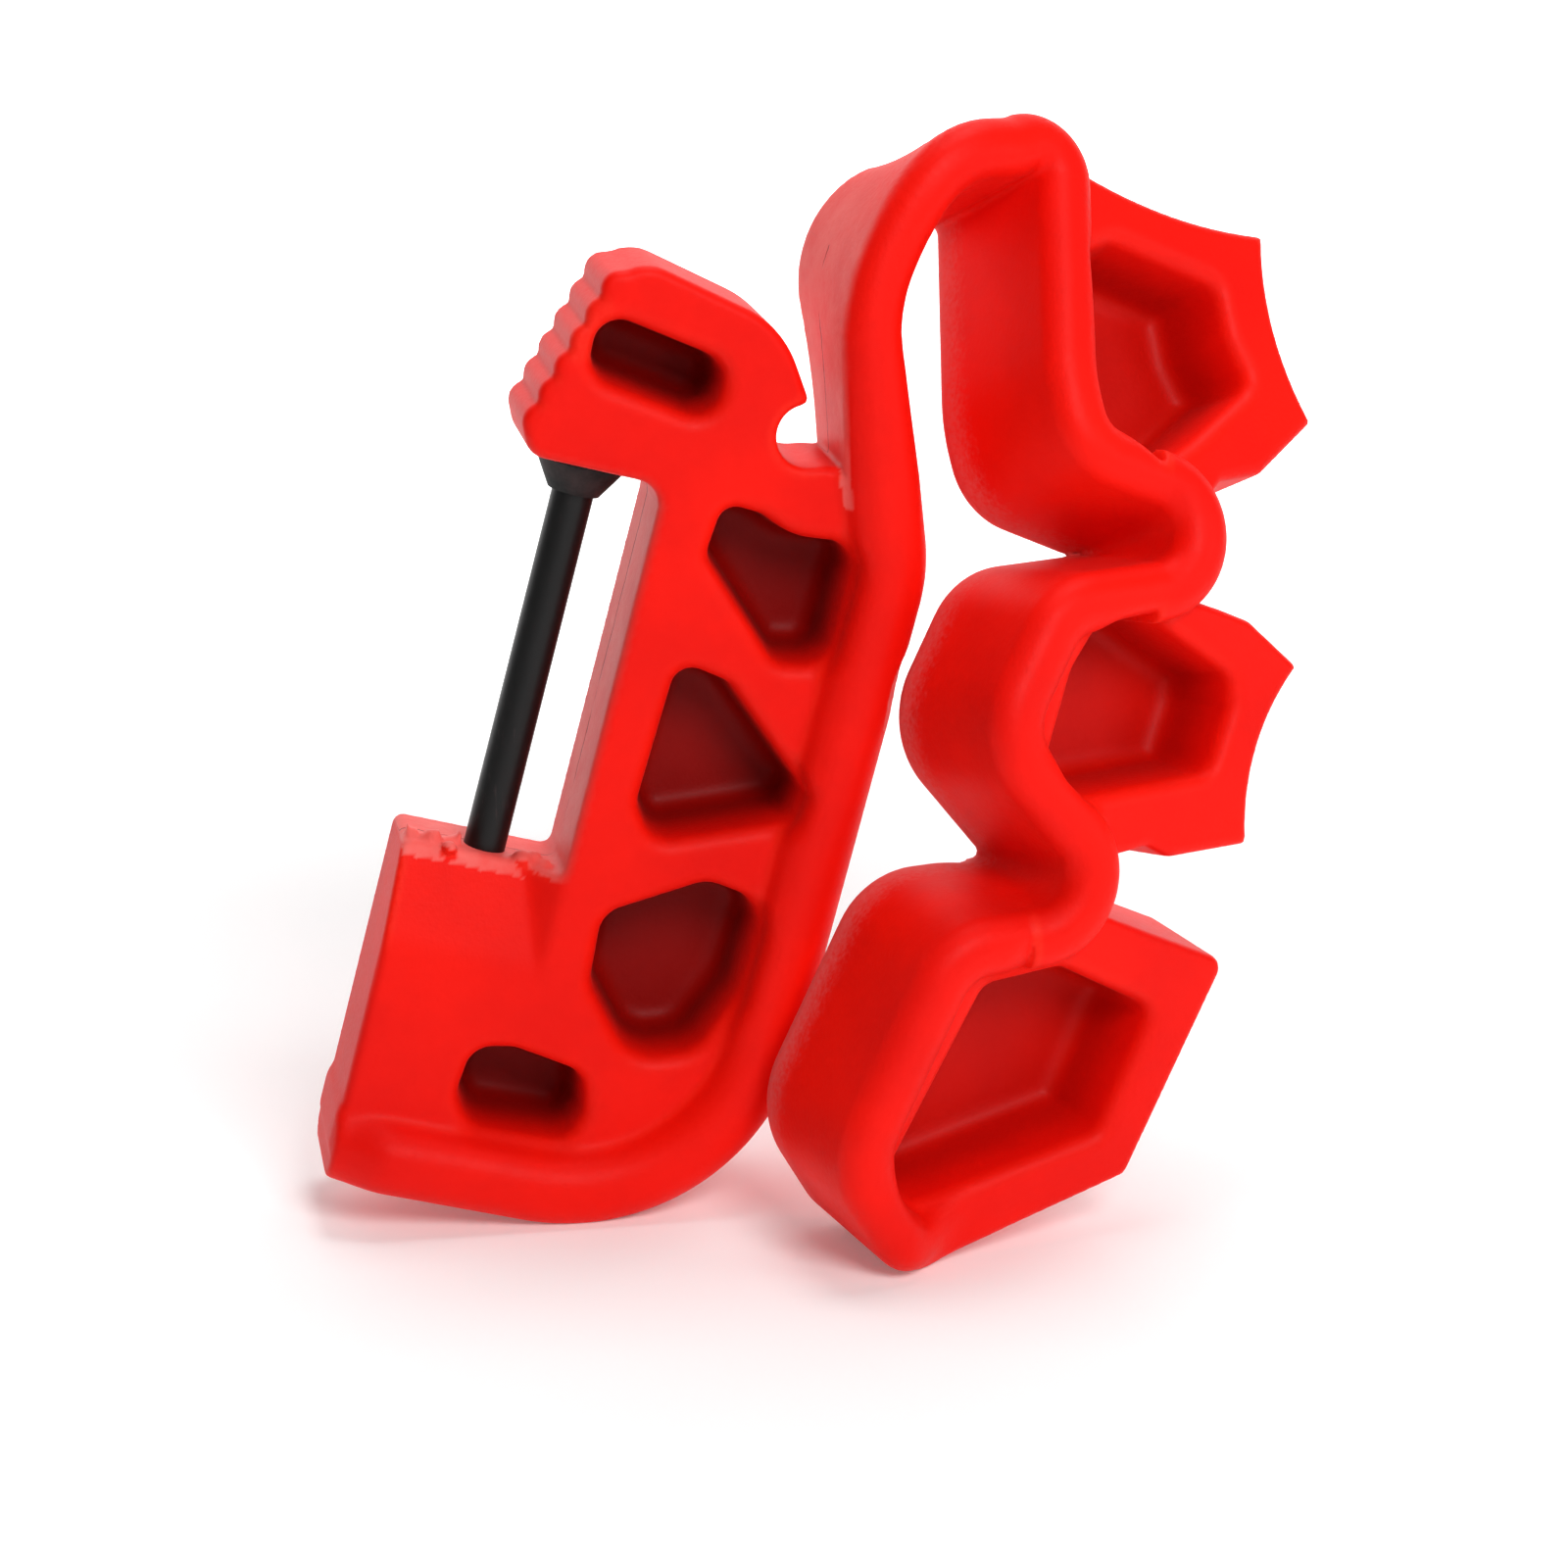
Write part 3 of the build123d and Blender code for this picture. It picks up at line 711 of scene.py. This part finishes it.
def gather(faces, owner, share=0.15):
    """Gives each stray island of faces to the piece round it, so that no piece has loose scraps."""
    a, b = side_pairs(faces)
    for _ in range(3):
        inner = owner[a] == owner[b]
        p, q = a[inner], b[inner]
        label = np.arange(len(faces))
        while True:
            before = label.copy()
            low = np.minimum(label[p], label[q])
            np.minimum.at(label, p, low)
            np.minimum.at(label, q, low)
            label = label[label]
            if (label == before).all():
                break
        size = np.bincount(label, minlength=len(faces))
        largest = np.zeros(len(NAMES), int)
        np.maximum.at(largest, owner, size[label])
        owner = np.where(size[label] < share * largest[owner], -1, owner)
        while (owner < 0).any():
            left = (owner < 0).sum()
            for m, n in ((a, b), (b, a)):
                take = (owner[m] < 0) & (owner[n] >= 0)
                owner[m[take]] = owner[n[take]]
            if (owner < 0).sum() == left:
                owner[owner < 0] = 0
    return owner


# ---------------------------------------------------------------- materials


class Nodes:
    """A material's nodes, made and joined in short lines."""

    def __init__(self, name):
        self.material = bpy.data.materials.new(name)
        self.material.use_nodes = True
        self.tree = self.material.node_tree
        self.shader = self.tree.nodes["Principled BSDF"]

    def add(self, kind, settings=(), **inputs):
        node = self.tree.nodes.new(kind)
        for key, value in dict(settings).items():
            setattr(node, key, value)
        for key, value in inputs.items():
            socket = node.inputs[int(key[1:])] if key[0] == "i" and key[1:].isdigit() else node.inputs[key]
            self.put(socket, value)
        return node

    def put(self, socket, value):
        if isinstance(value, bpy.types.NodeSocket):
            self.tree.links.new(value, socket)
        else:
            socket.default_value = value

    def math(self, operation, a, b=0.0, clamp=False):
        node = self.add("ShaderNodeMath", {"operation": operation, "use_clamp": clamp}, i0=a, i1=b)
        return node.outputs[0]

    def mix(self, factor, a, b):
        node = self.add("ShaderNodeMix", {"data_type": "RGBA"})
        self.put(node.inputs[0], factor)
        self.put(node.inputs[6], a)
        self.put(node.inputs[7], b)
        return node.outputs[2]

    def noise(self, scale, detail=3.0, roughness=0.5):
        at = self.add("ShaderNodeTexCoord").outputs["Object"]
        values = {"Vector": at, "Scale": scale, "Detail": detail, "Roughness": roughness}
        return self.add("ShaderNodeTexNoise", **values).outputs[0]

    def step(self, value, low, high):
        smooth = {"interpolation_type": "SMOOTHSTEP"}
        return self.add("ShaderNodeMapRange", smooth, i0=value, i1=low, i2=high).outputs[0]

    def attribute(self, name):
        return self.add("ShaderNodeAttribute", {"attribute_name": name}).outputs["Fac"]

    def bump(self, height, strength, distance, below=None):
        node = self.add("ShaderNodeBump", Height=height, Strength=strength, Distance=distance)
        if below is not None:
            self.put(node.inputs["Normal"], below)
        return node.outputs[0]


def foam_material():
    """Red foam skin: fine leathery stipple, pale rubbed edges, pale dust with painted sheen on the pads' band
    sides, painted shade in the pockets, pink torn and trimmed faces.
    """
    n = Nodes("red_foam")
    shader = n.shader
    red, deep, glow = (0.93, 0.006, 0.001, 1), (0.74, 0.003, 0.001, 1), (1.0, 0.04, 0.018, 1)
    pale, dust_and_sheen = (0.93, 0.17, 0.15, 1), (0.80, 0.20, 0.19, 1)
    broad, fine, grit = n.noise(28, 4), n.noise(950, 2, 0.6), n.noise(2600, 1)
    wear, cut, rub_and_sheen = n.attribute("wear"), n.attribute("cut"), n.attribute("rub_and_sheen")
    color = n.mix(n.step(broad, 0.35, 0.7), red, deep)
    color = n.mix(n.math("MULTIPLY", n.step(broad, 0.3, 0.62), 0.35), color, red)
    edge = n.math("MULTIPLY", n.step(wear, 0.12, 0.5), n.math("ADD", n.math("MULTIPLY", fine, 0.8), 0.1))
    color = n.mix(n.math("MULTIPLY", edge, 0.55), color, glow)
    # Pale pink on the pads' band sides, paler towards the back: partly dust, partly painted sheen
    rubbed_and_sheen = n.math("MULTIPLY", n.step(n.math("ADD", rub_and_sheen, n.math("MULTIPLY", fine, 0.5)), 0.62, 1.15), 0.5)
    color = n.mix(rubbed_and_sheen, color, dust_and_sheen)
    # Painted shade: the pockets darken towards their floors, read from the deep attribute
    color = n.mix(n.math("MULTIPLY", n.attribute("deep"), 0.8), color, (0.11, 0.0004, 0.0002, 1))
    streaks = n.step(n.noise(60, 5, 0.65), 0.3, 0.75)
    color = n.mix(n.math("MULTIPLY", cut, n.math("ADD", n.math("MULTIPLY", streaks, 0.5), 0.42)), color, pale)
    seam = n.attribute("seam")
    wander = n.math("MULTIPLY", n.math("SUBTRACT", n.noise(160, 4, 0.7), 0.5), 2.4)
    split = n.math("SUBTRACT", 1.0, n.step(n.math("ABSOLUTE", n.math("ADD", seam, wander)), 0.12, 0.42))
    split = n.math("MULTIPLY", split, n.step(n.noise(90, 2), 0.36, 0.5))
    color = n.mix(n.math("MULTIPLY", split, 0.75), color, (0.32, 0.012, 0.012, 1))
    n.put(shader.inputs["Base Color"], color)
    rough = n.math("ADD", n.math("MULTIPLY", fine, 0.16), n.math("ADD", 0.42, n.math("MULTIPLY", rub_and_sheen, 0.2)))
    n.put(shader.inputs["Roughness"], rough)
    shader.inputs["IOR"].default_value = 1.22
    shader.inputs["Specular IOR Level"].default_value = 0.5
    shader.inputs["Sheen Weight"].default_value = 0.03
    shader.inputs["Sheen Roughness"].default_value = 0.35
    shader.inputs["Sheen Tint"].default_value = (1.0, 0.55, 0.5, 1)
    below = n.bump(broad, 0.25, 0.0006)
    below = n.bump(n.math("MULTIPLY", split, -1.0), 0.8, 0.0006, below)
    below = n.bump(fine, 0.42, 0.00016, below)
    n.put(shader.inputs["Normal"], n.bump(grit, 0.25, 0.00006, below))
    return n.material


def coat_material():
    """Black coated steel: satin, with fine rubbed streaks along the bar."""
    n = Nodes("black_coat")
    at = n.add("ShaderNodeTexCoord").outputs["Object"]
    turn = n.add("ShaderNodeMapping", Vector=at, Rotation=(0, -math.radians(LEAN), 0), Scale=(1, 1, 0.06))
    streak = n.add("ShaderNodeTexNoise", Vector=turn.outputs[0], Scale=1500.0, Detail=3.0).outputs[0]
    patch = n.noise(70, 4, 0.6)
    worn = n.math("MULTIPLY", n.step(streak, 0.58, 0.7), n.step(patch, 0.5, 0.66))
    color = n.mix(patch, (0.0025, 0.0022, 0.0022, 1), (0.006, 0.0055, 0.0055, 1))
    n.put(n.shader.inputs["Base Color"], n.mix(n.math("MULTIPLY", worn, 0.4), color, (0.05, 0.03, 0.03, 1)))
    n.shader.inputs["Specular IOR Level"].default_value = 0.3
    n.put(n.shader.inputs["Roughness"], n.math("ADD", 0.32, n.math("MULTIPLY", streak, 0.2)))
    below = n.bump(n.noise(900, 2), 0.15, 0.0001)
    n.put(n.shader.inputs["Normal"], n.bump(streak, 0.12, 0.0001, below))
    return n.material


def plastic_material():
    """Black moulded plastic of the collar, dusty at its rim."""
    n = Nodes("black_plastic")
    patch, fine = n.noise(120, 4), n.noise(1400, 2)
    color = n.mix(n.step(patch, 0.45, 0.75), (0.006, 0.006, 0.006, 1), (0.03, 0.018, 0.018, 1))
    n.shader.inputs["Specular IOR Level"].default_value = 0.3
    n.put(n.shader.inputs["Base Color"], color)
    n.put(n.shader.inputs["Roughness"], n.math("ADD", 0.5, n.math("MULTIPLY", fine, 0.25)))
    n.put(n.shader.inputs["Normal"], n.bump(fine, 0.3, 0.0001))
    return n.material


def steel_material():
    """Plain steel of the buried flanges."""
    n = Nodes("plain_steel")
    grain = n.noise(700, 3)
    n.put(n.shader.inputs["Base Color"], n.mix(grain, (0.42, 0.42, 0.43, 1), (0.6, 0.6, 0.61, 1)))
    n.shader.inputs["Metallic"].default_value = 1.0
    n.put(n.shader.inputs["Roughness"], n.math("ADD", 0.3, n.math("MULTIPLY", grain, 0.25)))
    return n.material


def floor_material():
    """Pale floor that glows far behind the object, so that the backdrop is even and white."""
    n = Nodes("pale_floor")
    haze = n.noise(3, 2)
    n.put(n.shader.inputs["Base Color"], n.mix(haze, (0.93, 0.93, 0.93, 1), (0.96, 0.96, 0.96, 1)))
    n.shader.inputs["Roughness"].default_value = 0.85
    n.shader.inputs["Emission Color"].default_value = (1, 1, 1, 1)
    at = n.add("ShaderNodeTexCoord").outputs["Object"]
    depth = n.add("ShaderNodeSeparateXYZ", Vector=at).outputs["Y"]
    glow = n.math("MULTIPLY", 0.93, n.step(depth, 0.1, 0.9))
    n.put(n.shader.inputs["Emission Strength"], n.math("ADD", 0.12, glow))
    return n.material


# ---------------------------------------------------------------- skins


def mesh_object(name, verts, faces, material):
    mesh = bpy.data.meshes.new(name)
    mesh.vertices.add(len(verts))
    mesh.vertices.foreach_set("co", (np.asarray(verts) * MM).astype(np.float32).ravel())
    corners = np.array([c for face in faces for c in face] if isinstance(faces, list) else faces.ravel())
    sizes = np.array([len(face) for face in faces])
    mesh.loops.add(len(corners))
    mesh.loops.foreach_set("vertex_index", corners.astype(np.int32))
    mesh.polygons.add(len(sizes))
    mesh.polygons.foreach_set("loop_start", (np.cumsum(sizes) - sizes).astype(np.int32))
    mesh.update(calc_edges=True)
    mesh.shade_smooth()
    mesh.materials.append(material)
    piece = bpy.data.objects.new(name, mesh)
    bpy.context.scene.collection.objects.link(piece)
    return piece


def set_attribute(piece, name, values):
    attribute = piece.data.attributes.new(name, "FLOAT", "POINT")
    attribute.data.foreach_set("value", np.asarray(values, np.float32))


def painted_pocket_shade(verts):
    """How far down a pocket each point is, from 0 at its mouth to 1 on its floor, times its piece's share:
    the painted shade of the pockets.
    """
    deep = np.zeros(len(verts))
    for name, share in POCKET_SHADE.items():
        field = FIELDS[name]
        x, y, z = field.plane.local(verts).T
        for pocket in field.pockets:
            inside = (pocket(x, y) < 1.0) & (np.abs(z) < WEB_HALF)
            deep = np.maximum(deep, np.where(inside, share * ramp(WEB_HALF - z, 1.0, 15.0), 0))
    return deep


def looks(volume, verts, normals):
    """Per-vertex values that the foam's material reads."""
    reach = 2.6
    wear = np.clip(1 + volume.at(verts - normals * reach) / reach, 0, 1)
    x, y, z = FRAME.local(verts).T
    nx, ny, nz = (normals @ FRAME.axes.T).T
    on_frame = (np.abs(z) < WEB_HALF + 1) & (x < BAR_GAP + 3)
    spine = on_frame & (nx < -0.25) & (y > -1) & (y < MOUTH_H + 2) & (x > BAR_GAP - 4)
    top = on_frame & (np.abs(y - 0.6) < 3.6) & ((ny > 0.25) | (y > 0.5)) & (x < BAR_GAP + 1)
    head = on_frame & (ny < -0.25) & (np.abs(y - MOUTH_H) < 3.5)
    neck = FIELDS["neck_strap_skin"].place(verts)
    root = FIELDS["neck_root_skin"].place(verts)
    seam = np.full(len(verts), 9.0)
    cut = np.zeros(len(verts))
    for (s, u, v, thick), field in ((neck, FIELDS["neck_strap_skin"]), (root, FIELDS["neck_root_skin"])):
        inner = (np.abs(np.abs(u) - thick / 2) < 0.8) & (np.abs(v) < BAND_HALF)
        inner &= (s > -6) & (s < field.length + 1)
        facing = ((normals @ FRAME.axes[0]) < -0.35) & inner & (x < FRAME_W + 2) & (y > MOUTH_H + 4)
        cut[facing] = (ramp(BAND_HALF - 2.5 - np.abs(v), 0, 2.5) * ramp(MOUTH_H + 72 - y, 0, 22))[facing]
        seam[facing & (y < MOUTH_H + 52)] = v[facing & (y < MOUTH_H + 52)] + 1.5
    inward = ramp(WEB_HALF + 0.4 - np.abs(z), 0.0, 3.0)
    for part, strength in ((spine, 0.85), (top, 1.0), (head, 0.5)):
        cut[part] = (strength * inward)[part]
        seam[part] = z[part] + 2
    # Painted shade of the pockets, by how deep each point lies in one
    deep = painted_pocket_shade(verts)
    # Band sides of the pads, more towards the back: where the pale dust and painted sheen go
    rub_and_sheen = np.zeros(len(verts))
    for name in ("upper_pad_skin", "middle_pad_skin", "lower_pad_skin"):
        field = FIELDS[name]
        px, py, pz = field.plane.local(verts).T
        off = field.line(px, py) - field.thickness / 2
        side = (np.abs(off) < 1.6) & (field.web(px, py) > 2.0) & (np.abs(pz) < BAND_HALF + 2)
        back = ramp(-pz, 2, BAND_HALF + 2)
        rub_and_sheen = np.maximum(rub_and_sheen, np.where(side, 0.25 + 0.75 * back, 0))
    return {"wear": wear, "cut": cut, "seam": seam, "rub_and_sheen": rub_and_sheen, "deep": deep}


BODY_OF = {
    "frame_skin": ("frame", ("frame_web", "frame_band")),
    "neck_strap_skin": ("neck", ("neck_strap",)),
    "upper_pad_skin": ("upper_pad", ("upper_pad_web", "upper_pad_band")),
    "middle_pad_skin": ("middle_pad", ("middle_pad_web", "middle_pad_band")),
    "lower_pad_skin": ("lower_pad", ("lower_pad_web", "lower_pad_band")),
}
BEND_OF = {
    "neck_root_skin": ("frame", "neck", "neck_root"),
    "crest_fold_skin": ("neck", "upper_pad", "crest_fold"),
    "middle_fold_skin": ("upper_pad", "middle_pad", "middle_fold"),
    "lower_fold_skin": ("middle_pad", "lower_pad", "lower_fold"),
}


def bend(piece, name, verts):
    """Lays a fold's points out straight along its band, then sets them back where they were."""
    field = FIELDS[name]
    s = field.place(verts)[0]
    laid = np.zeros((len(verts), 3), np.float32)
    laid[:, 0] = s * MM
    piece.data.vertices.foreach_set("co", laid.ravel())
    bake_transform(piece)
    piece.data.vertices.foreach_set("co", (verts * MM).astype(np.float32).ravel())
    piece.data.update()


def build_skins(material):
    volume = Volume()
    verts, faces = volume.surface()
    verts = settle(volume, verts)
    normals = volume.gradient(verts)
    normals /= np.maximum(np.linalg.norm(normals, axis=1), 1e-9)[:, None]
    values = looks(volume, verts, normals)
    owner = gather(faces, nearest_field(verts[faces].mean(1)))
    for number, name in enumerate(NAMES):
        mine = faces[owner == number]
        used, local = np.unique(mine, return_inverse=True)
        piece = mesh_object(name, verts[used], local.reshape(mine.shape), material)
        for key, value in values.items():
            set_attribute(piece, key, value[used])
        piece.data.normals_split_custom_set_from_vertices(normals[used].tolist())
        if name in BODY_OF:
            body, nodes = BODY_OF[name]
            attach(piece, body)
            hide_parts(*nodes)
        else:
            bend(piece, name, verts[used])
            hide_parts(BEND_OF[name][2])


# ---------------------------------------------------------------- stage, light and camera


def build_stage():
    """Pale floor that sweeps up into a wall. Only the part behind the object glows."""
    half, near, bend_at, radius, height = 5.0, -3.0, 1.8, 1.2, 5.0
    profile = [(near, 0.0)]
    for k in range(25):
        a = math.radians(90 * k / 24)
        profile.append((bend_at + radius * math.sin(a), radius * (1 - math.cos(a))))
    profile.append((bend_at + radius, height))
    verts = np.array([(x, y, z) for y, z in profile for x in (-half, half)]) / MM
    faces = np.array([(2 * k, 2 * k + 1, 2 * k + 3, 2 * k + 2) for k in range(len(profile) - 1)])
    mesh_object("floor", verts, faces, floor_material())
    world = bpy.data.worlds.new("studio")
    bpy.context.scene.world = world
    world.use_nodes = True
    world.node_tree.nodes["Background"].inputs["Color"].default_value = (1, 1, 1, 1)
    world.node_tree.nodes["Background"].inputs["Strength"].default_value = 0.1


def area_light(name, place, target, size, power):
    light = bpy.data.lights.new(name, "AREA")
    light.shape, light.size, light.energy = "DISK", size, power
    lamp = bpy.data.objects.new(name, light)
    lamp.location = place
    lamp.rotation_euler = (Vector(target) - Vector(place)).to_track_quat("-Z", "Y").to_euler()
    bpy.context.scene.collection.objects.link(lamp)


def build_camera():
    """Camera 850 mm in front of the block, ten degrees to its left and sixteen above."""
    distance, azimuth, elevation, field_of_view = 850.0, math.radians(-10), math.radians(16), 320 / 1700
    aim = FRAME.origin + (61.6, 0, 9.9)
    back = np.array([
        math.sin(azimuth) * math.cos(elevation),
        -math.cos(azimuth) * math.cos(elevation),
        math.sin(elevation),
    ])
    camera = bpy.data.objects.new("camera", bpy.data.cameras.new("camera"))
    camera.data.angle = 2 * math.atan(field_of_view)
    camera.data.clip_start = 0.01
    camera.location = (aim + back * distance) * MM
    camera.rotation_euler = Vector(-back).to_track_quat("-Z", "Y").to_euler()
    bpy.context.scene.collection.objects.link(camera)
    bpy.context.scene.camera = camera


bpy.context.scene.view_settings.view_transform = "Standard"
build_camera()
build_stage()
middle = tuple((np.array(cad_box[0]) + np.array(cad_box[1])) / 2)
area_light("key", (0.2, -0.95, 0.8), middle, 0.5, 8.5)
area_light("side", (1.0, -0.55, 0.4), middle, 0.4, 1.8)
area_light("top", (0.12, 0.1, 1.05), middle, 0.5, 4)

build_skins(foam_material())
MATERIALS = {
    "grip_bar": coat_material(),
    "bar_collar": plastic_material(),
    "head_anchor": steel_material(),
    "foot_anchor": steel_material(),
}
for node, material in MATERIALS.items():
    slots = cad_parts[node].data.materials
    slots.clear()
    slots.append(material)
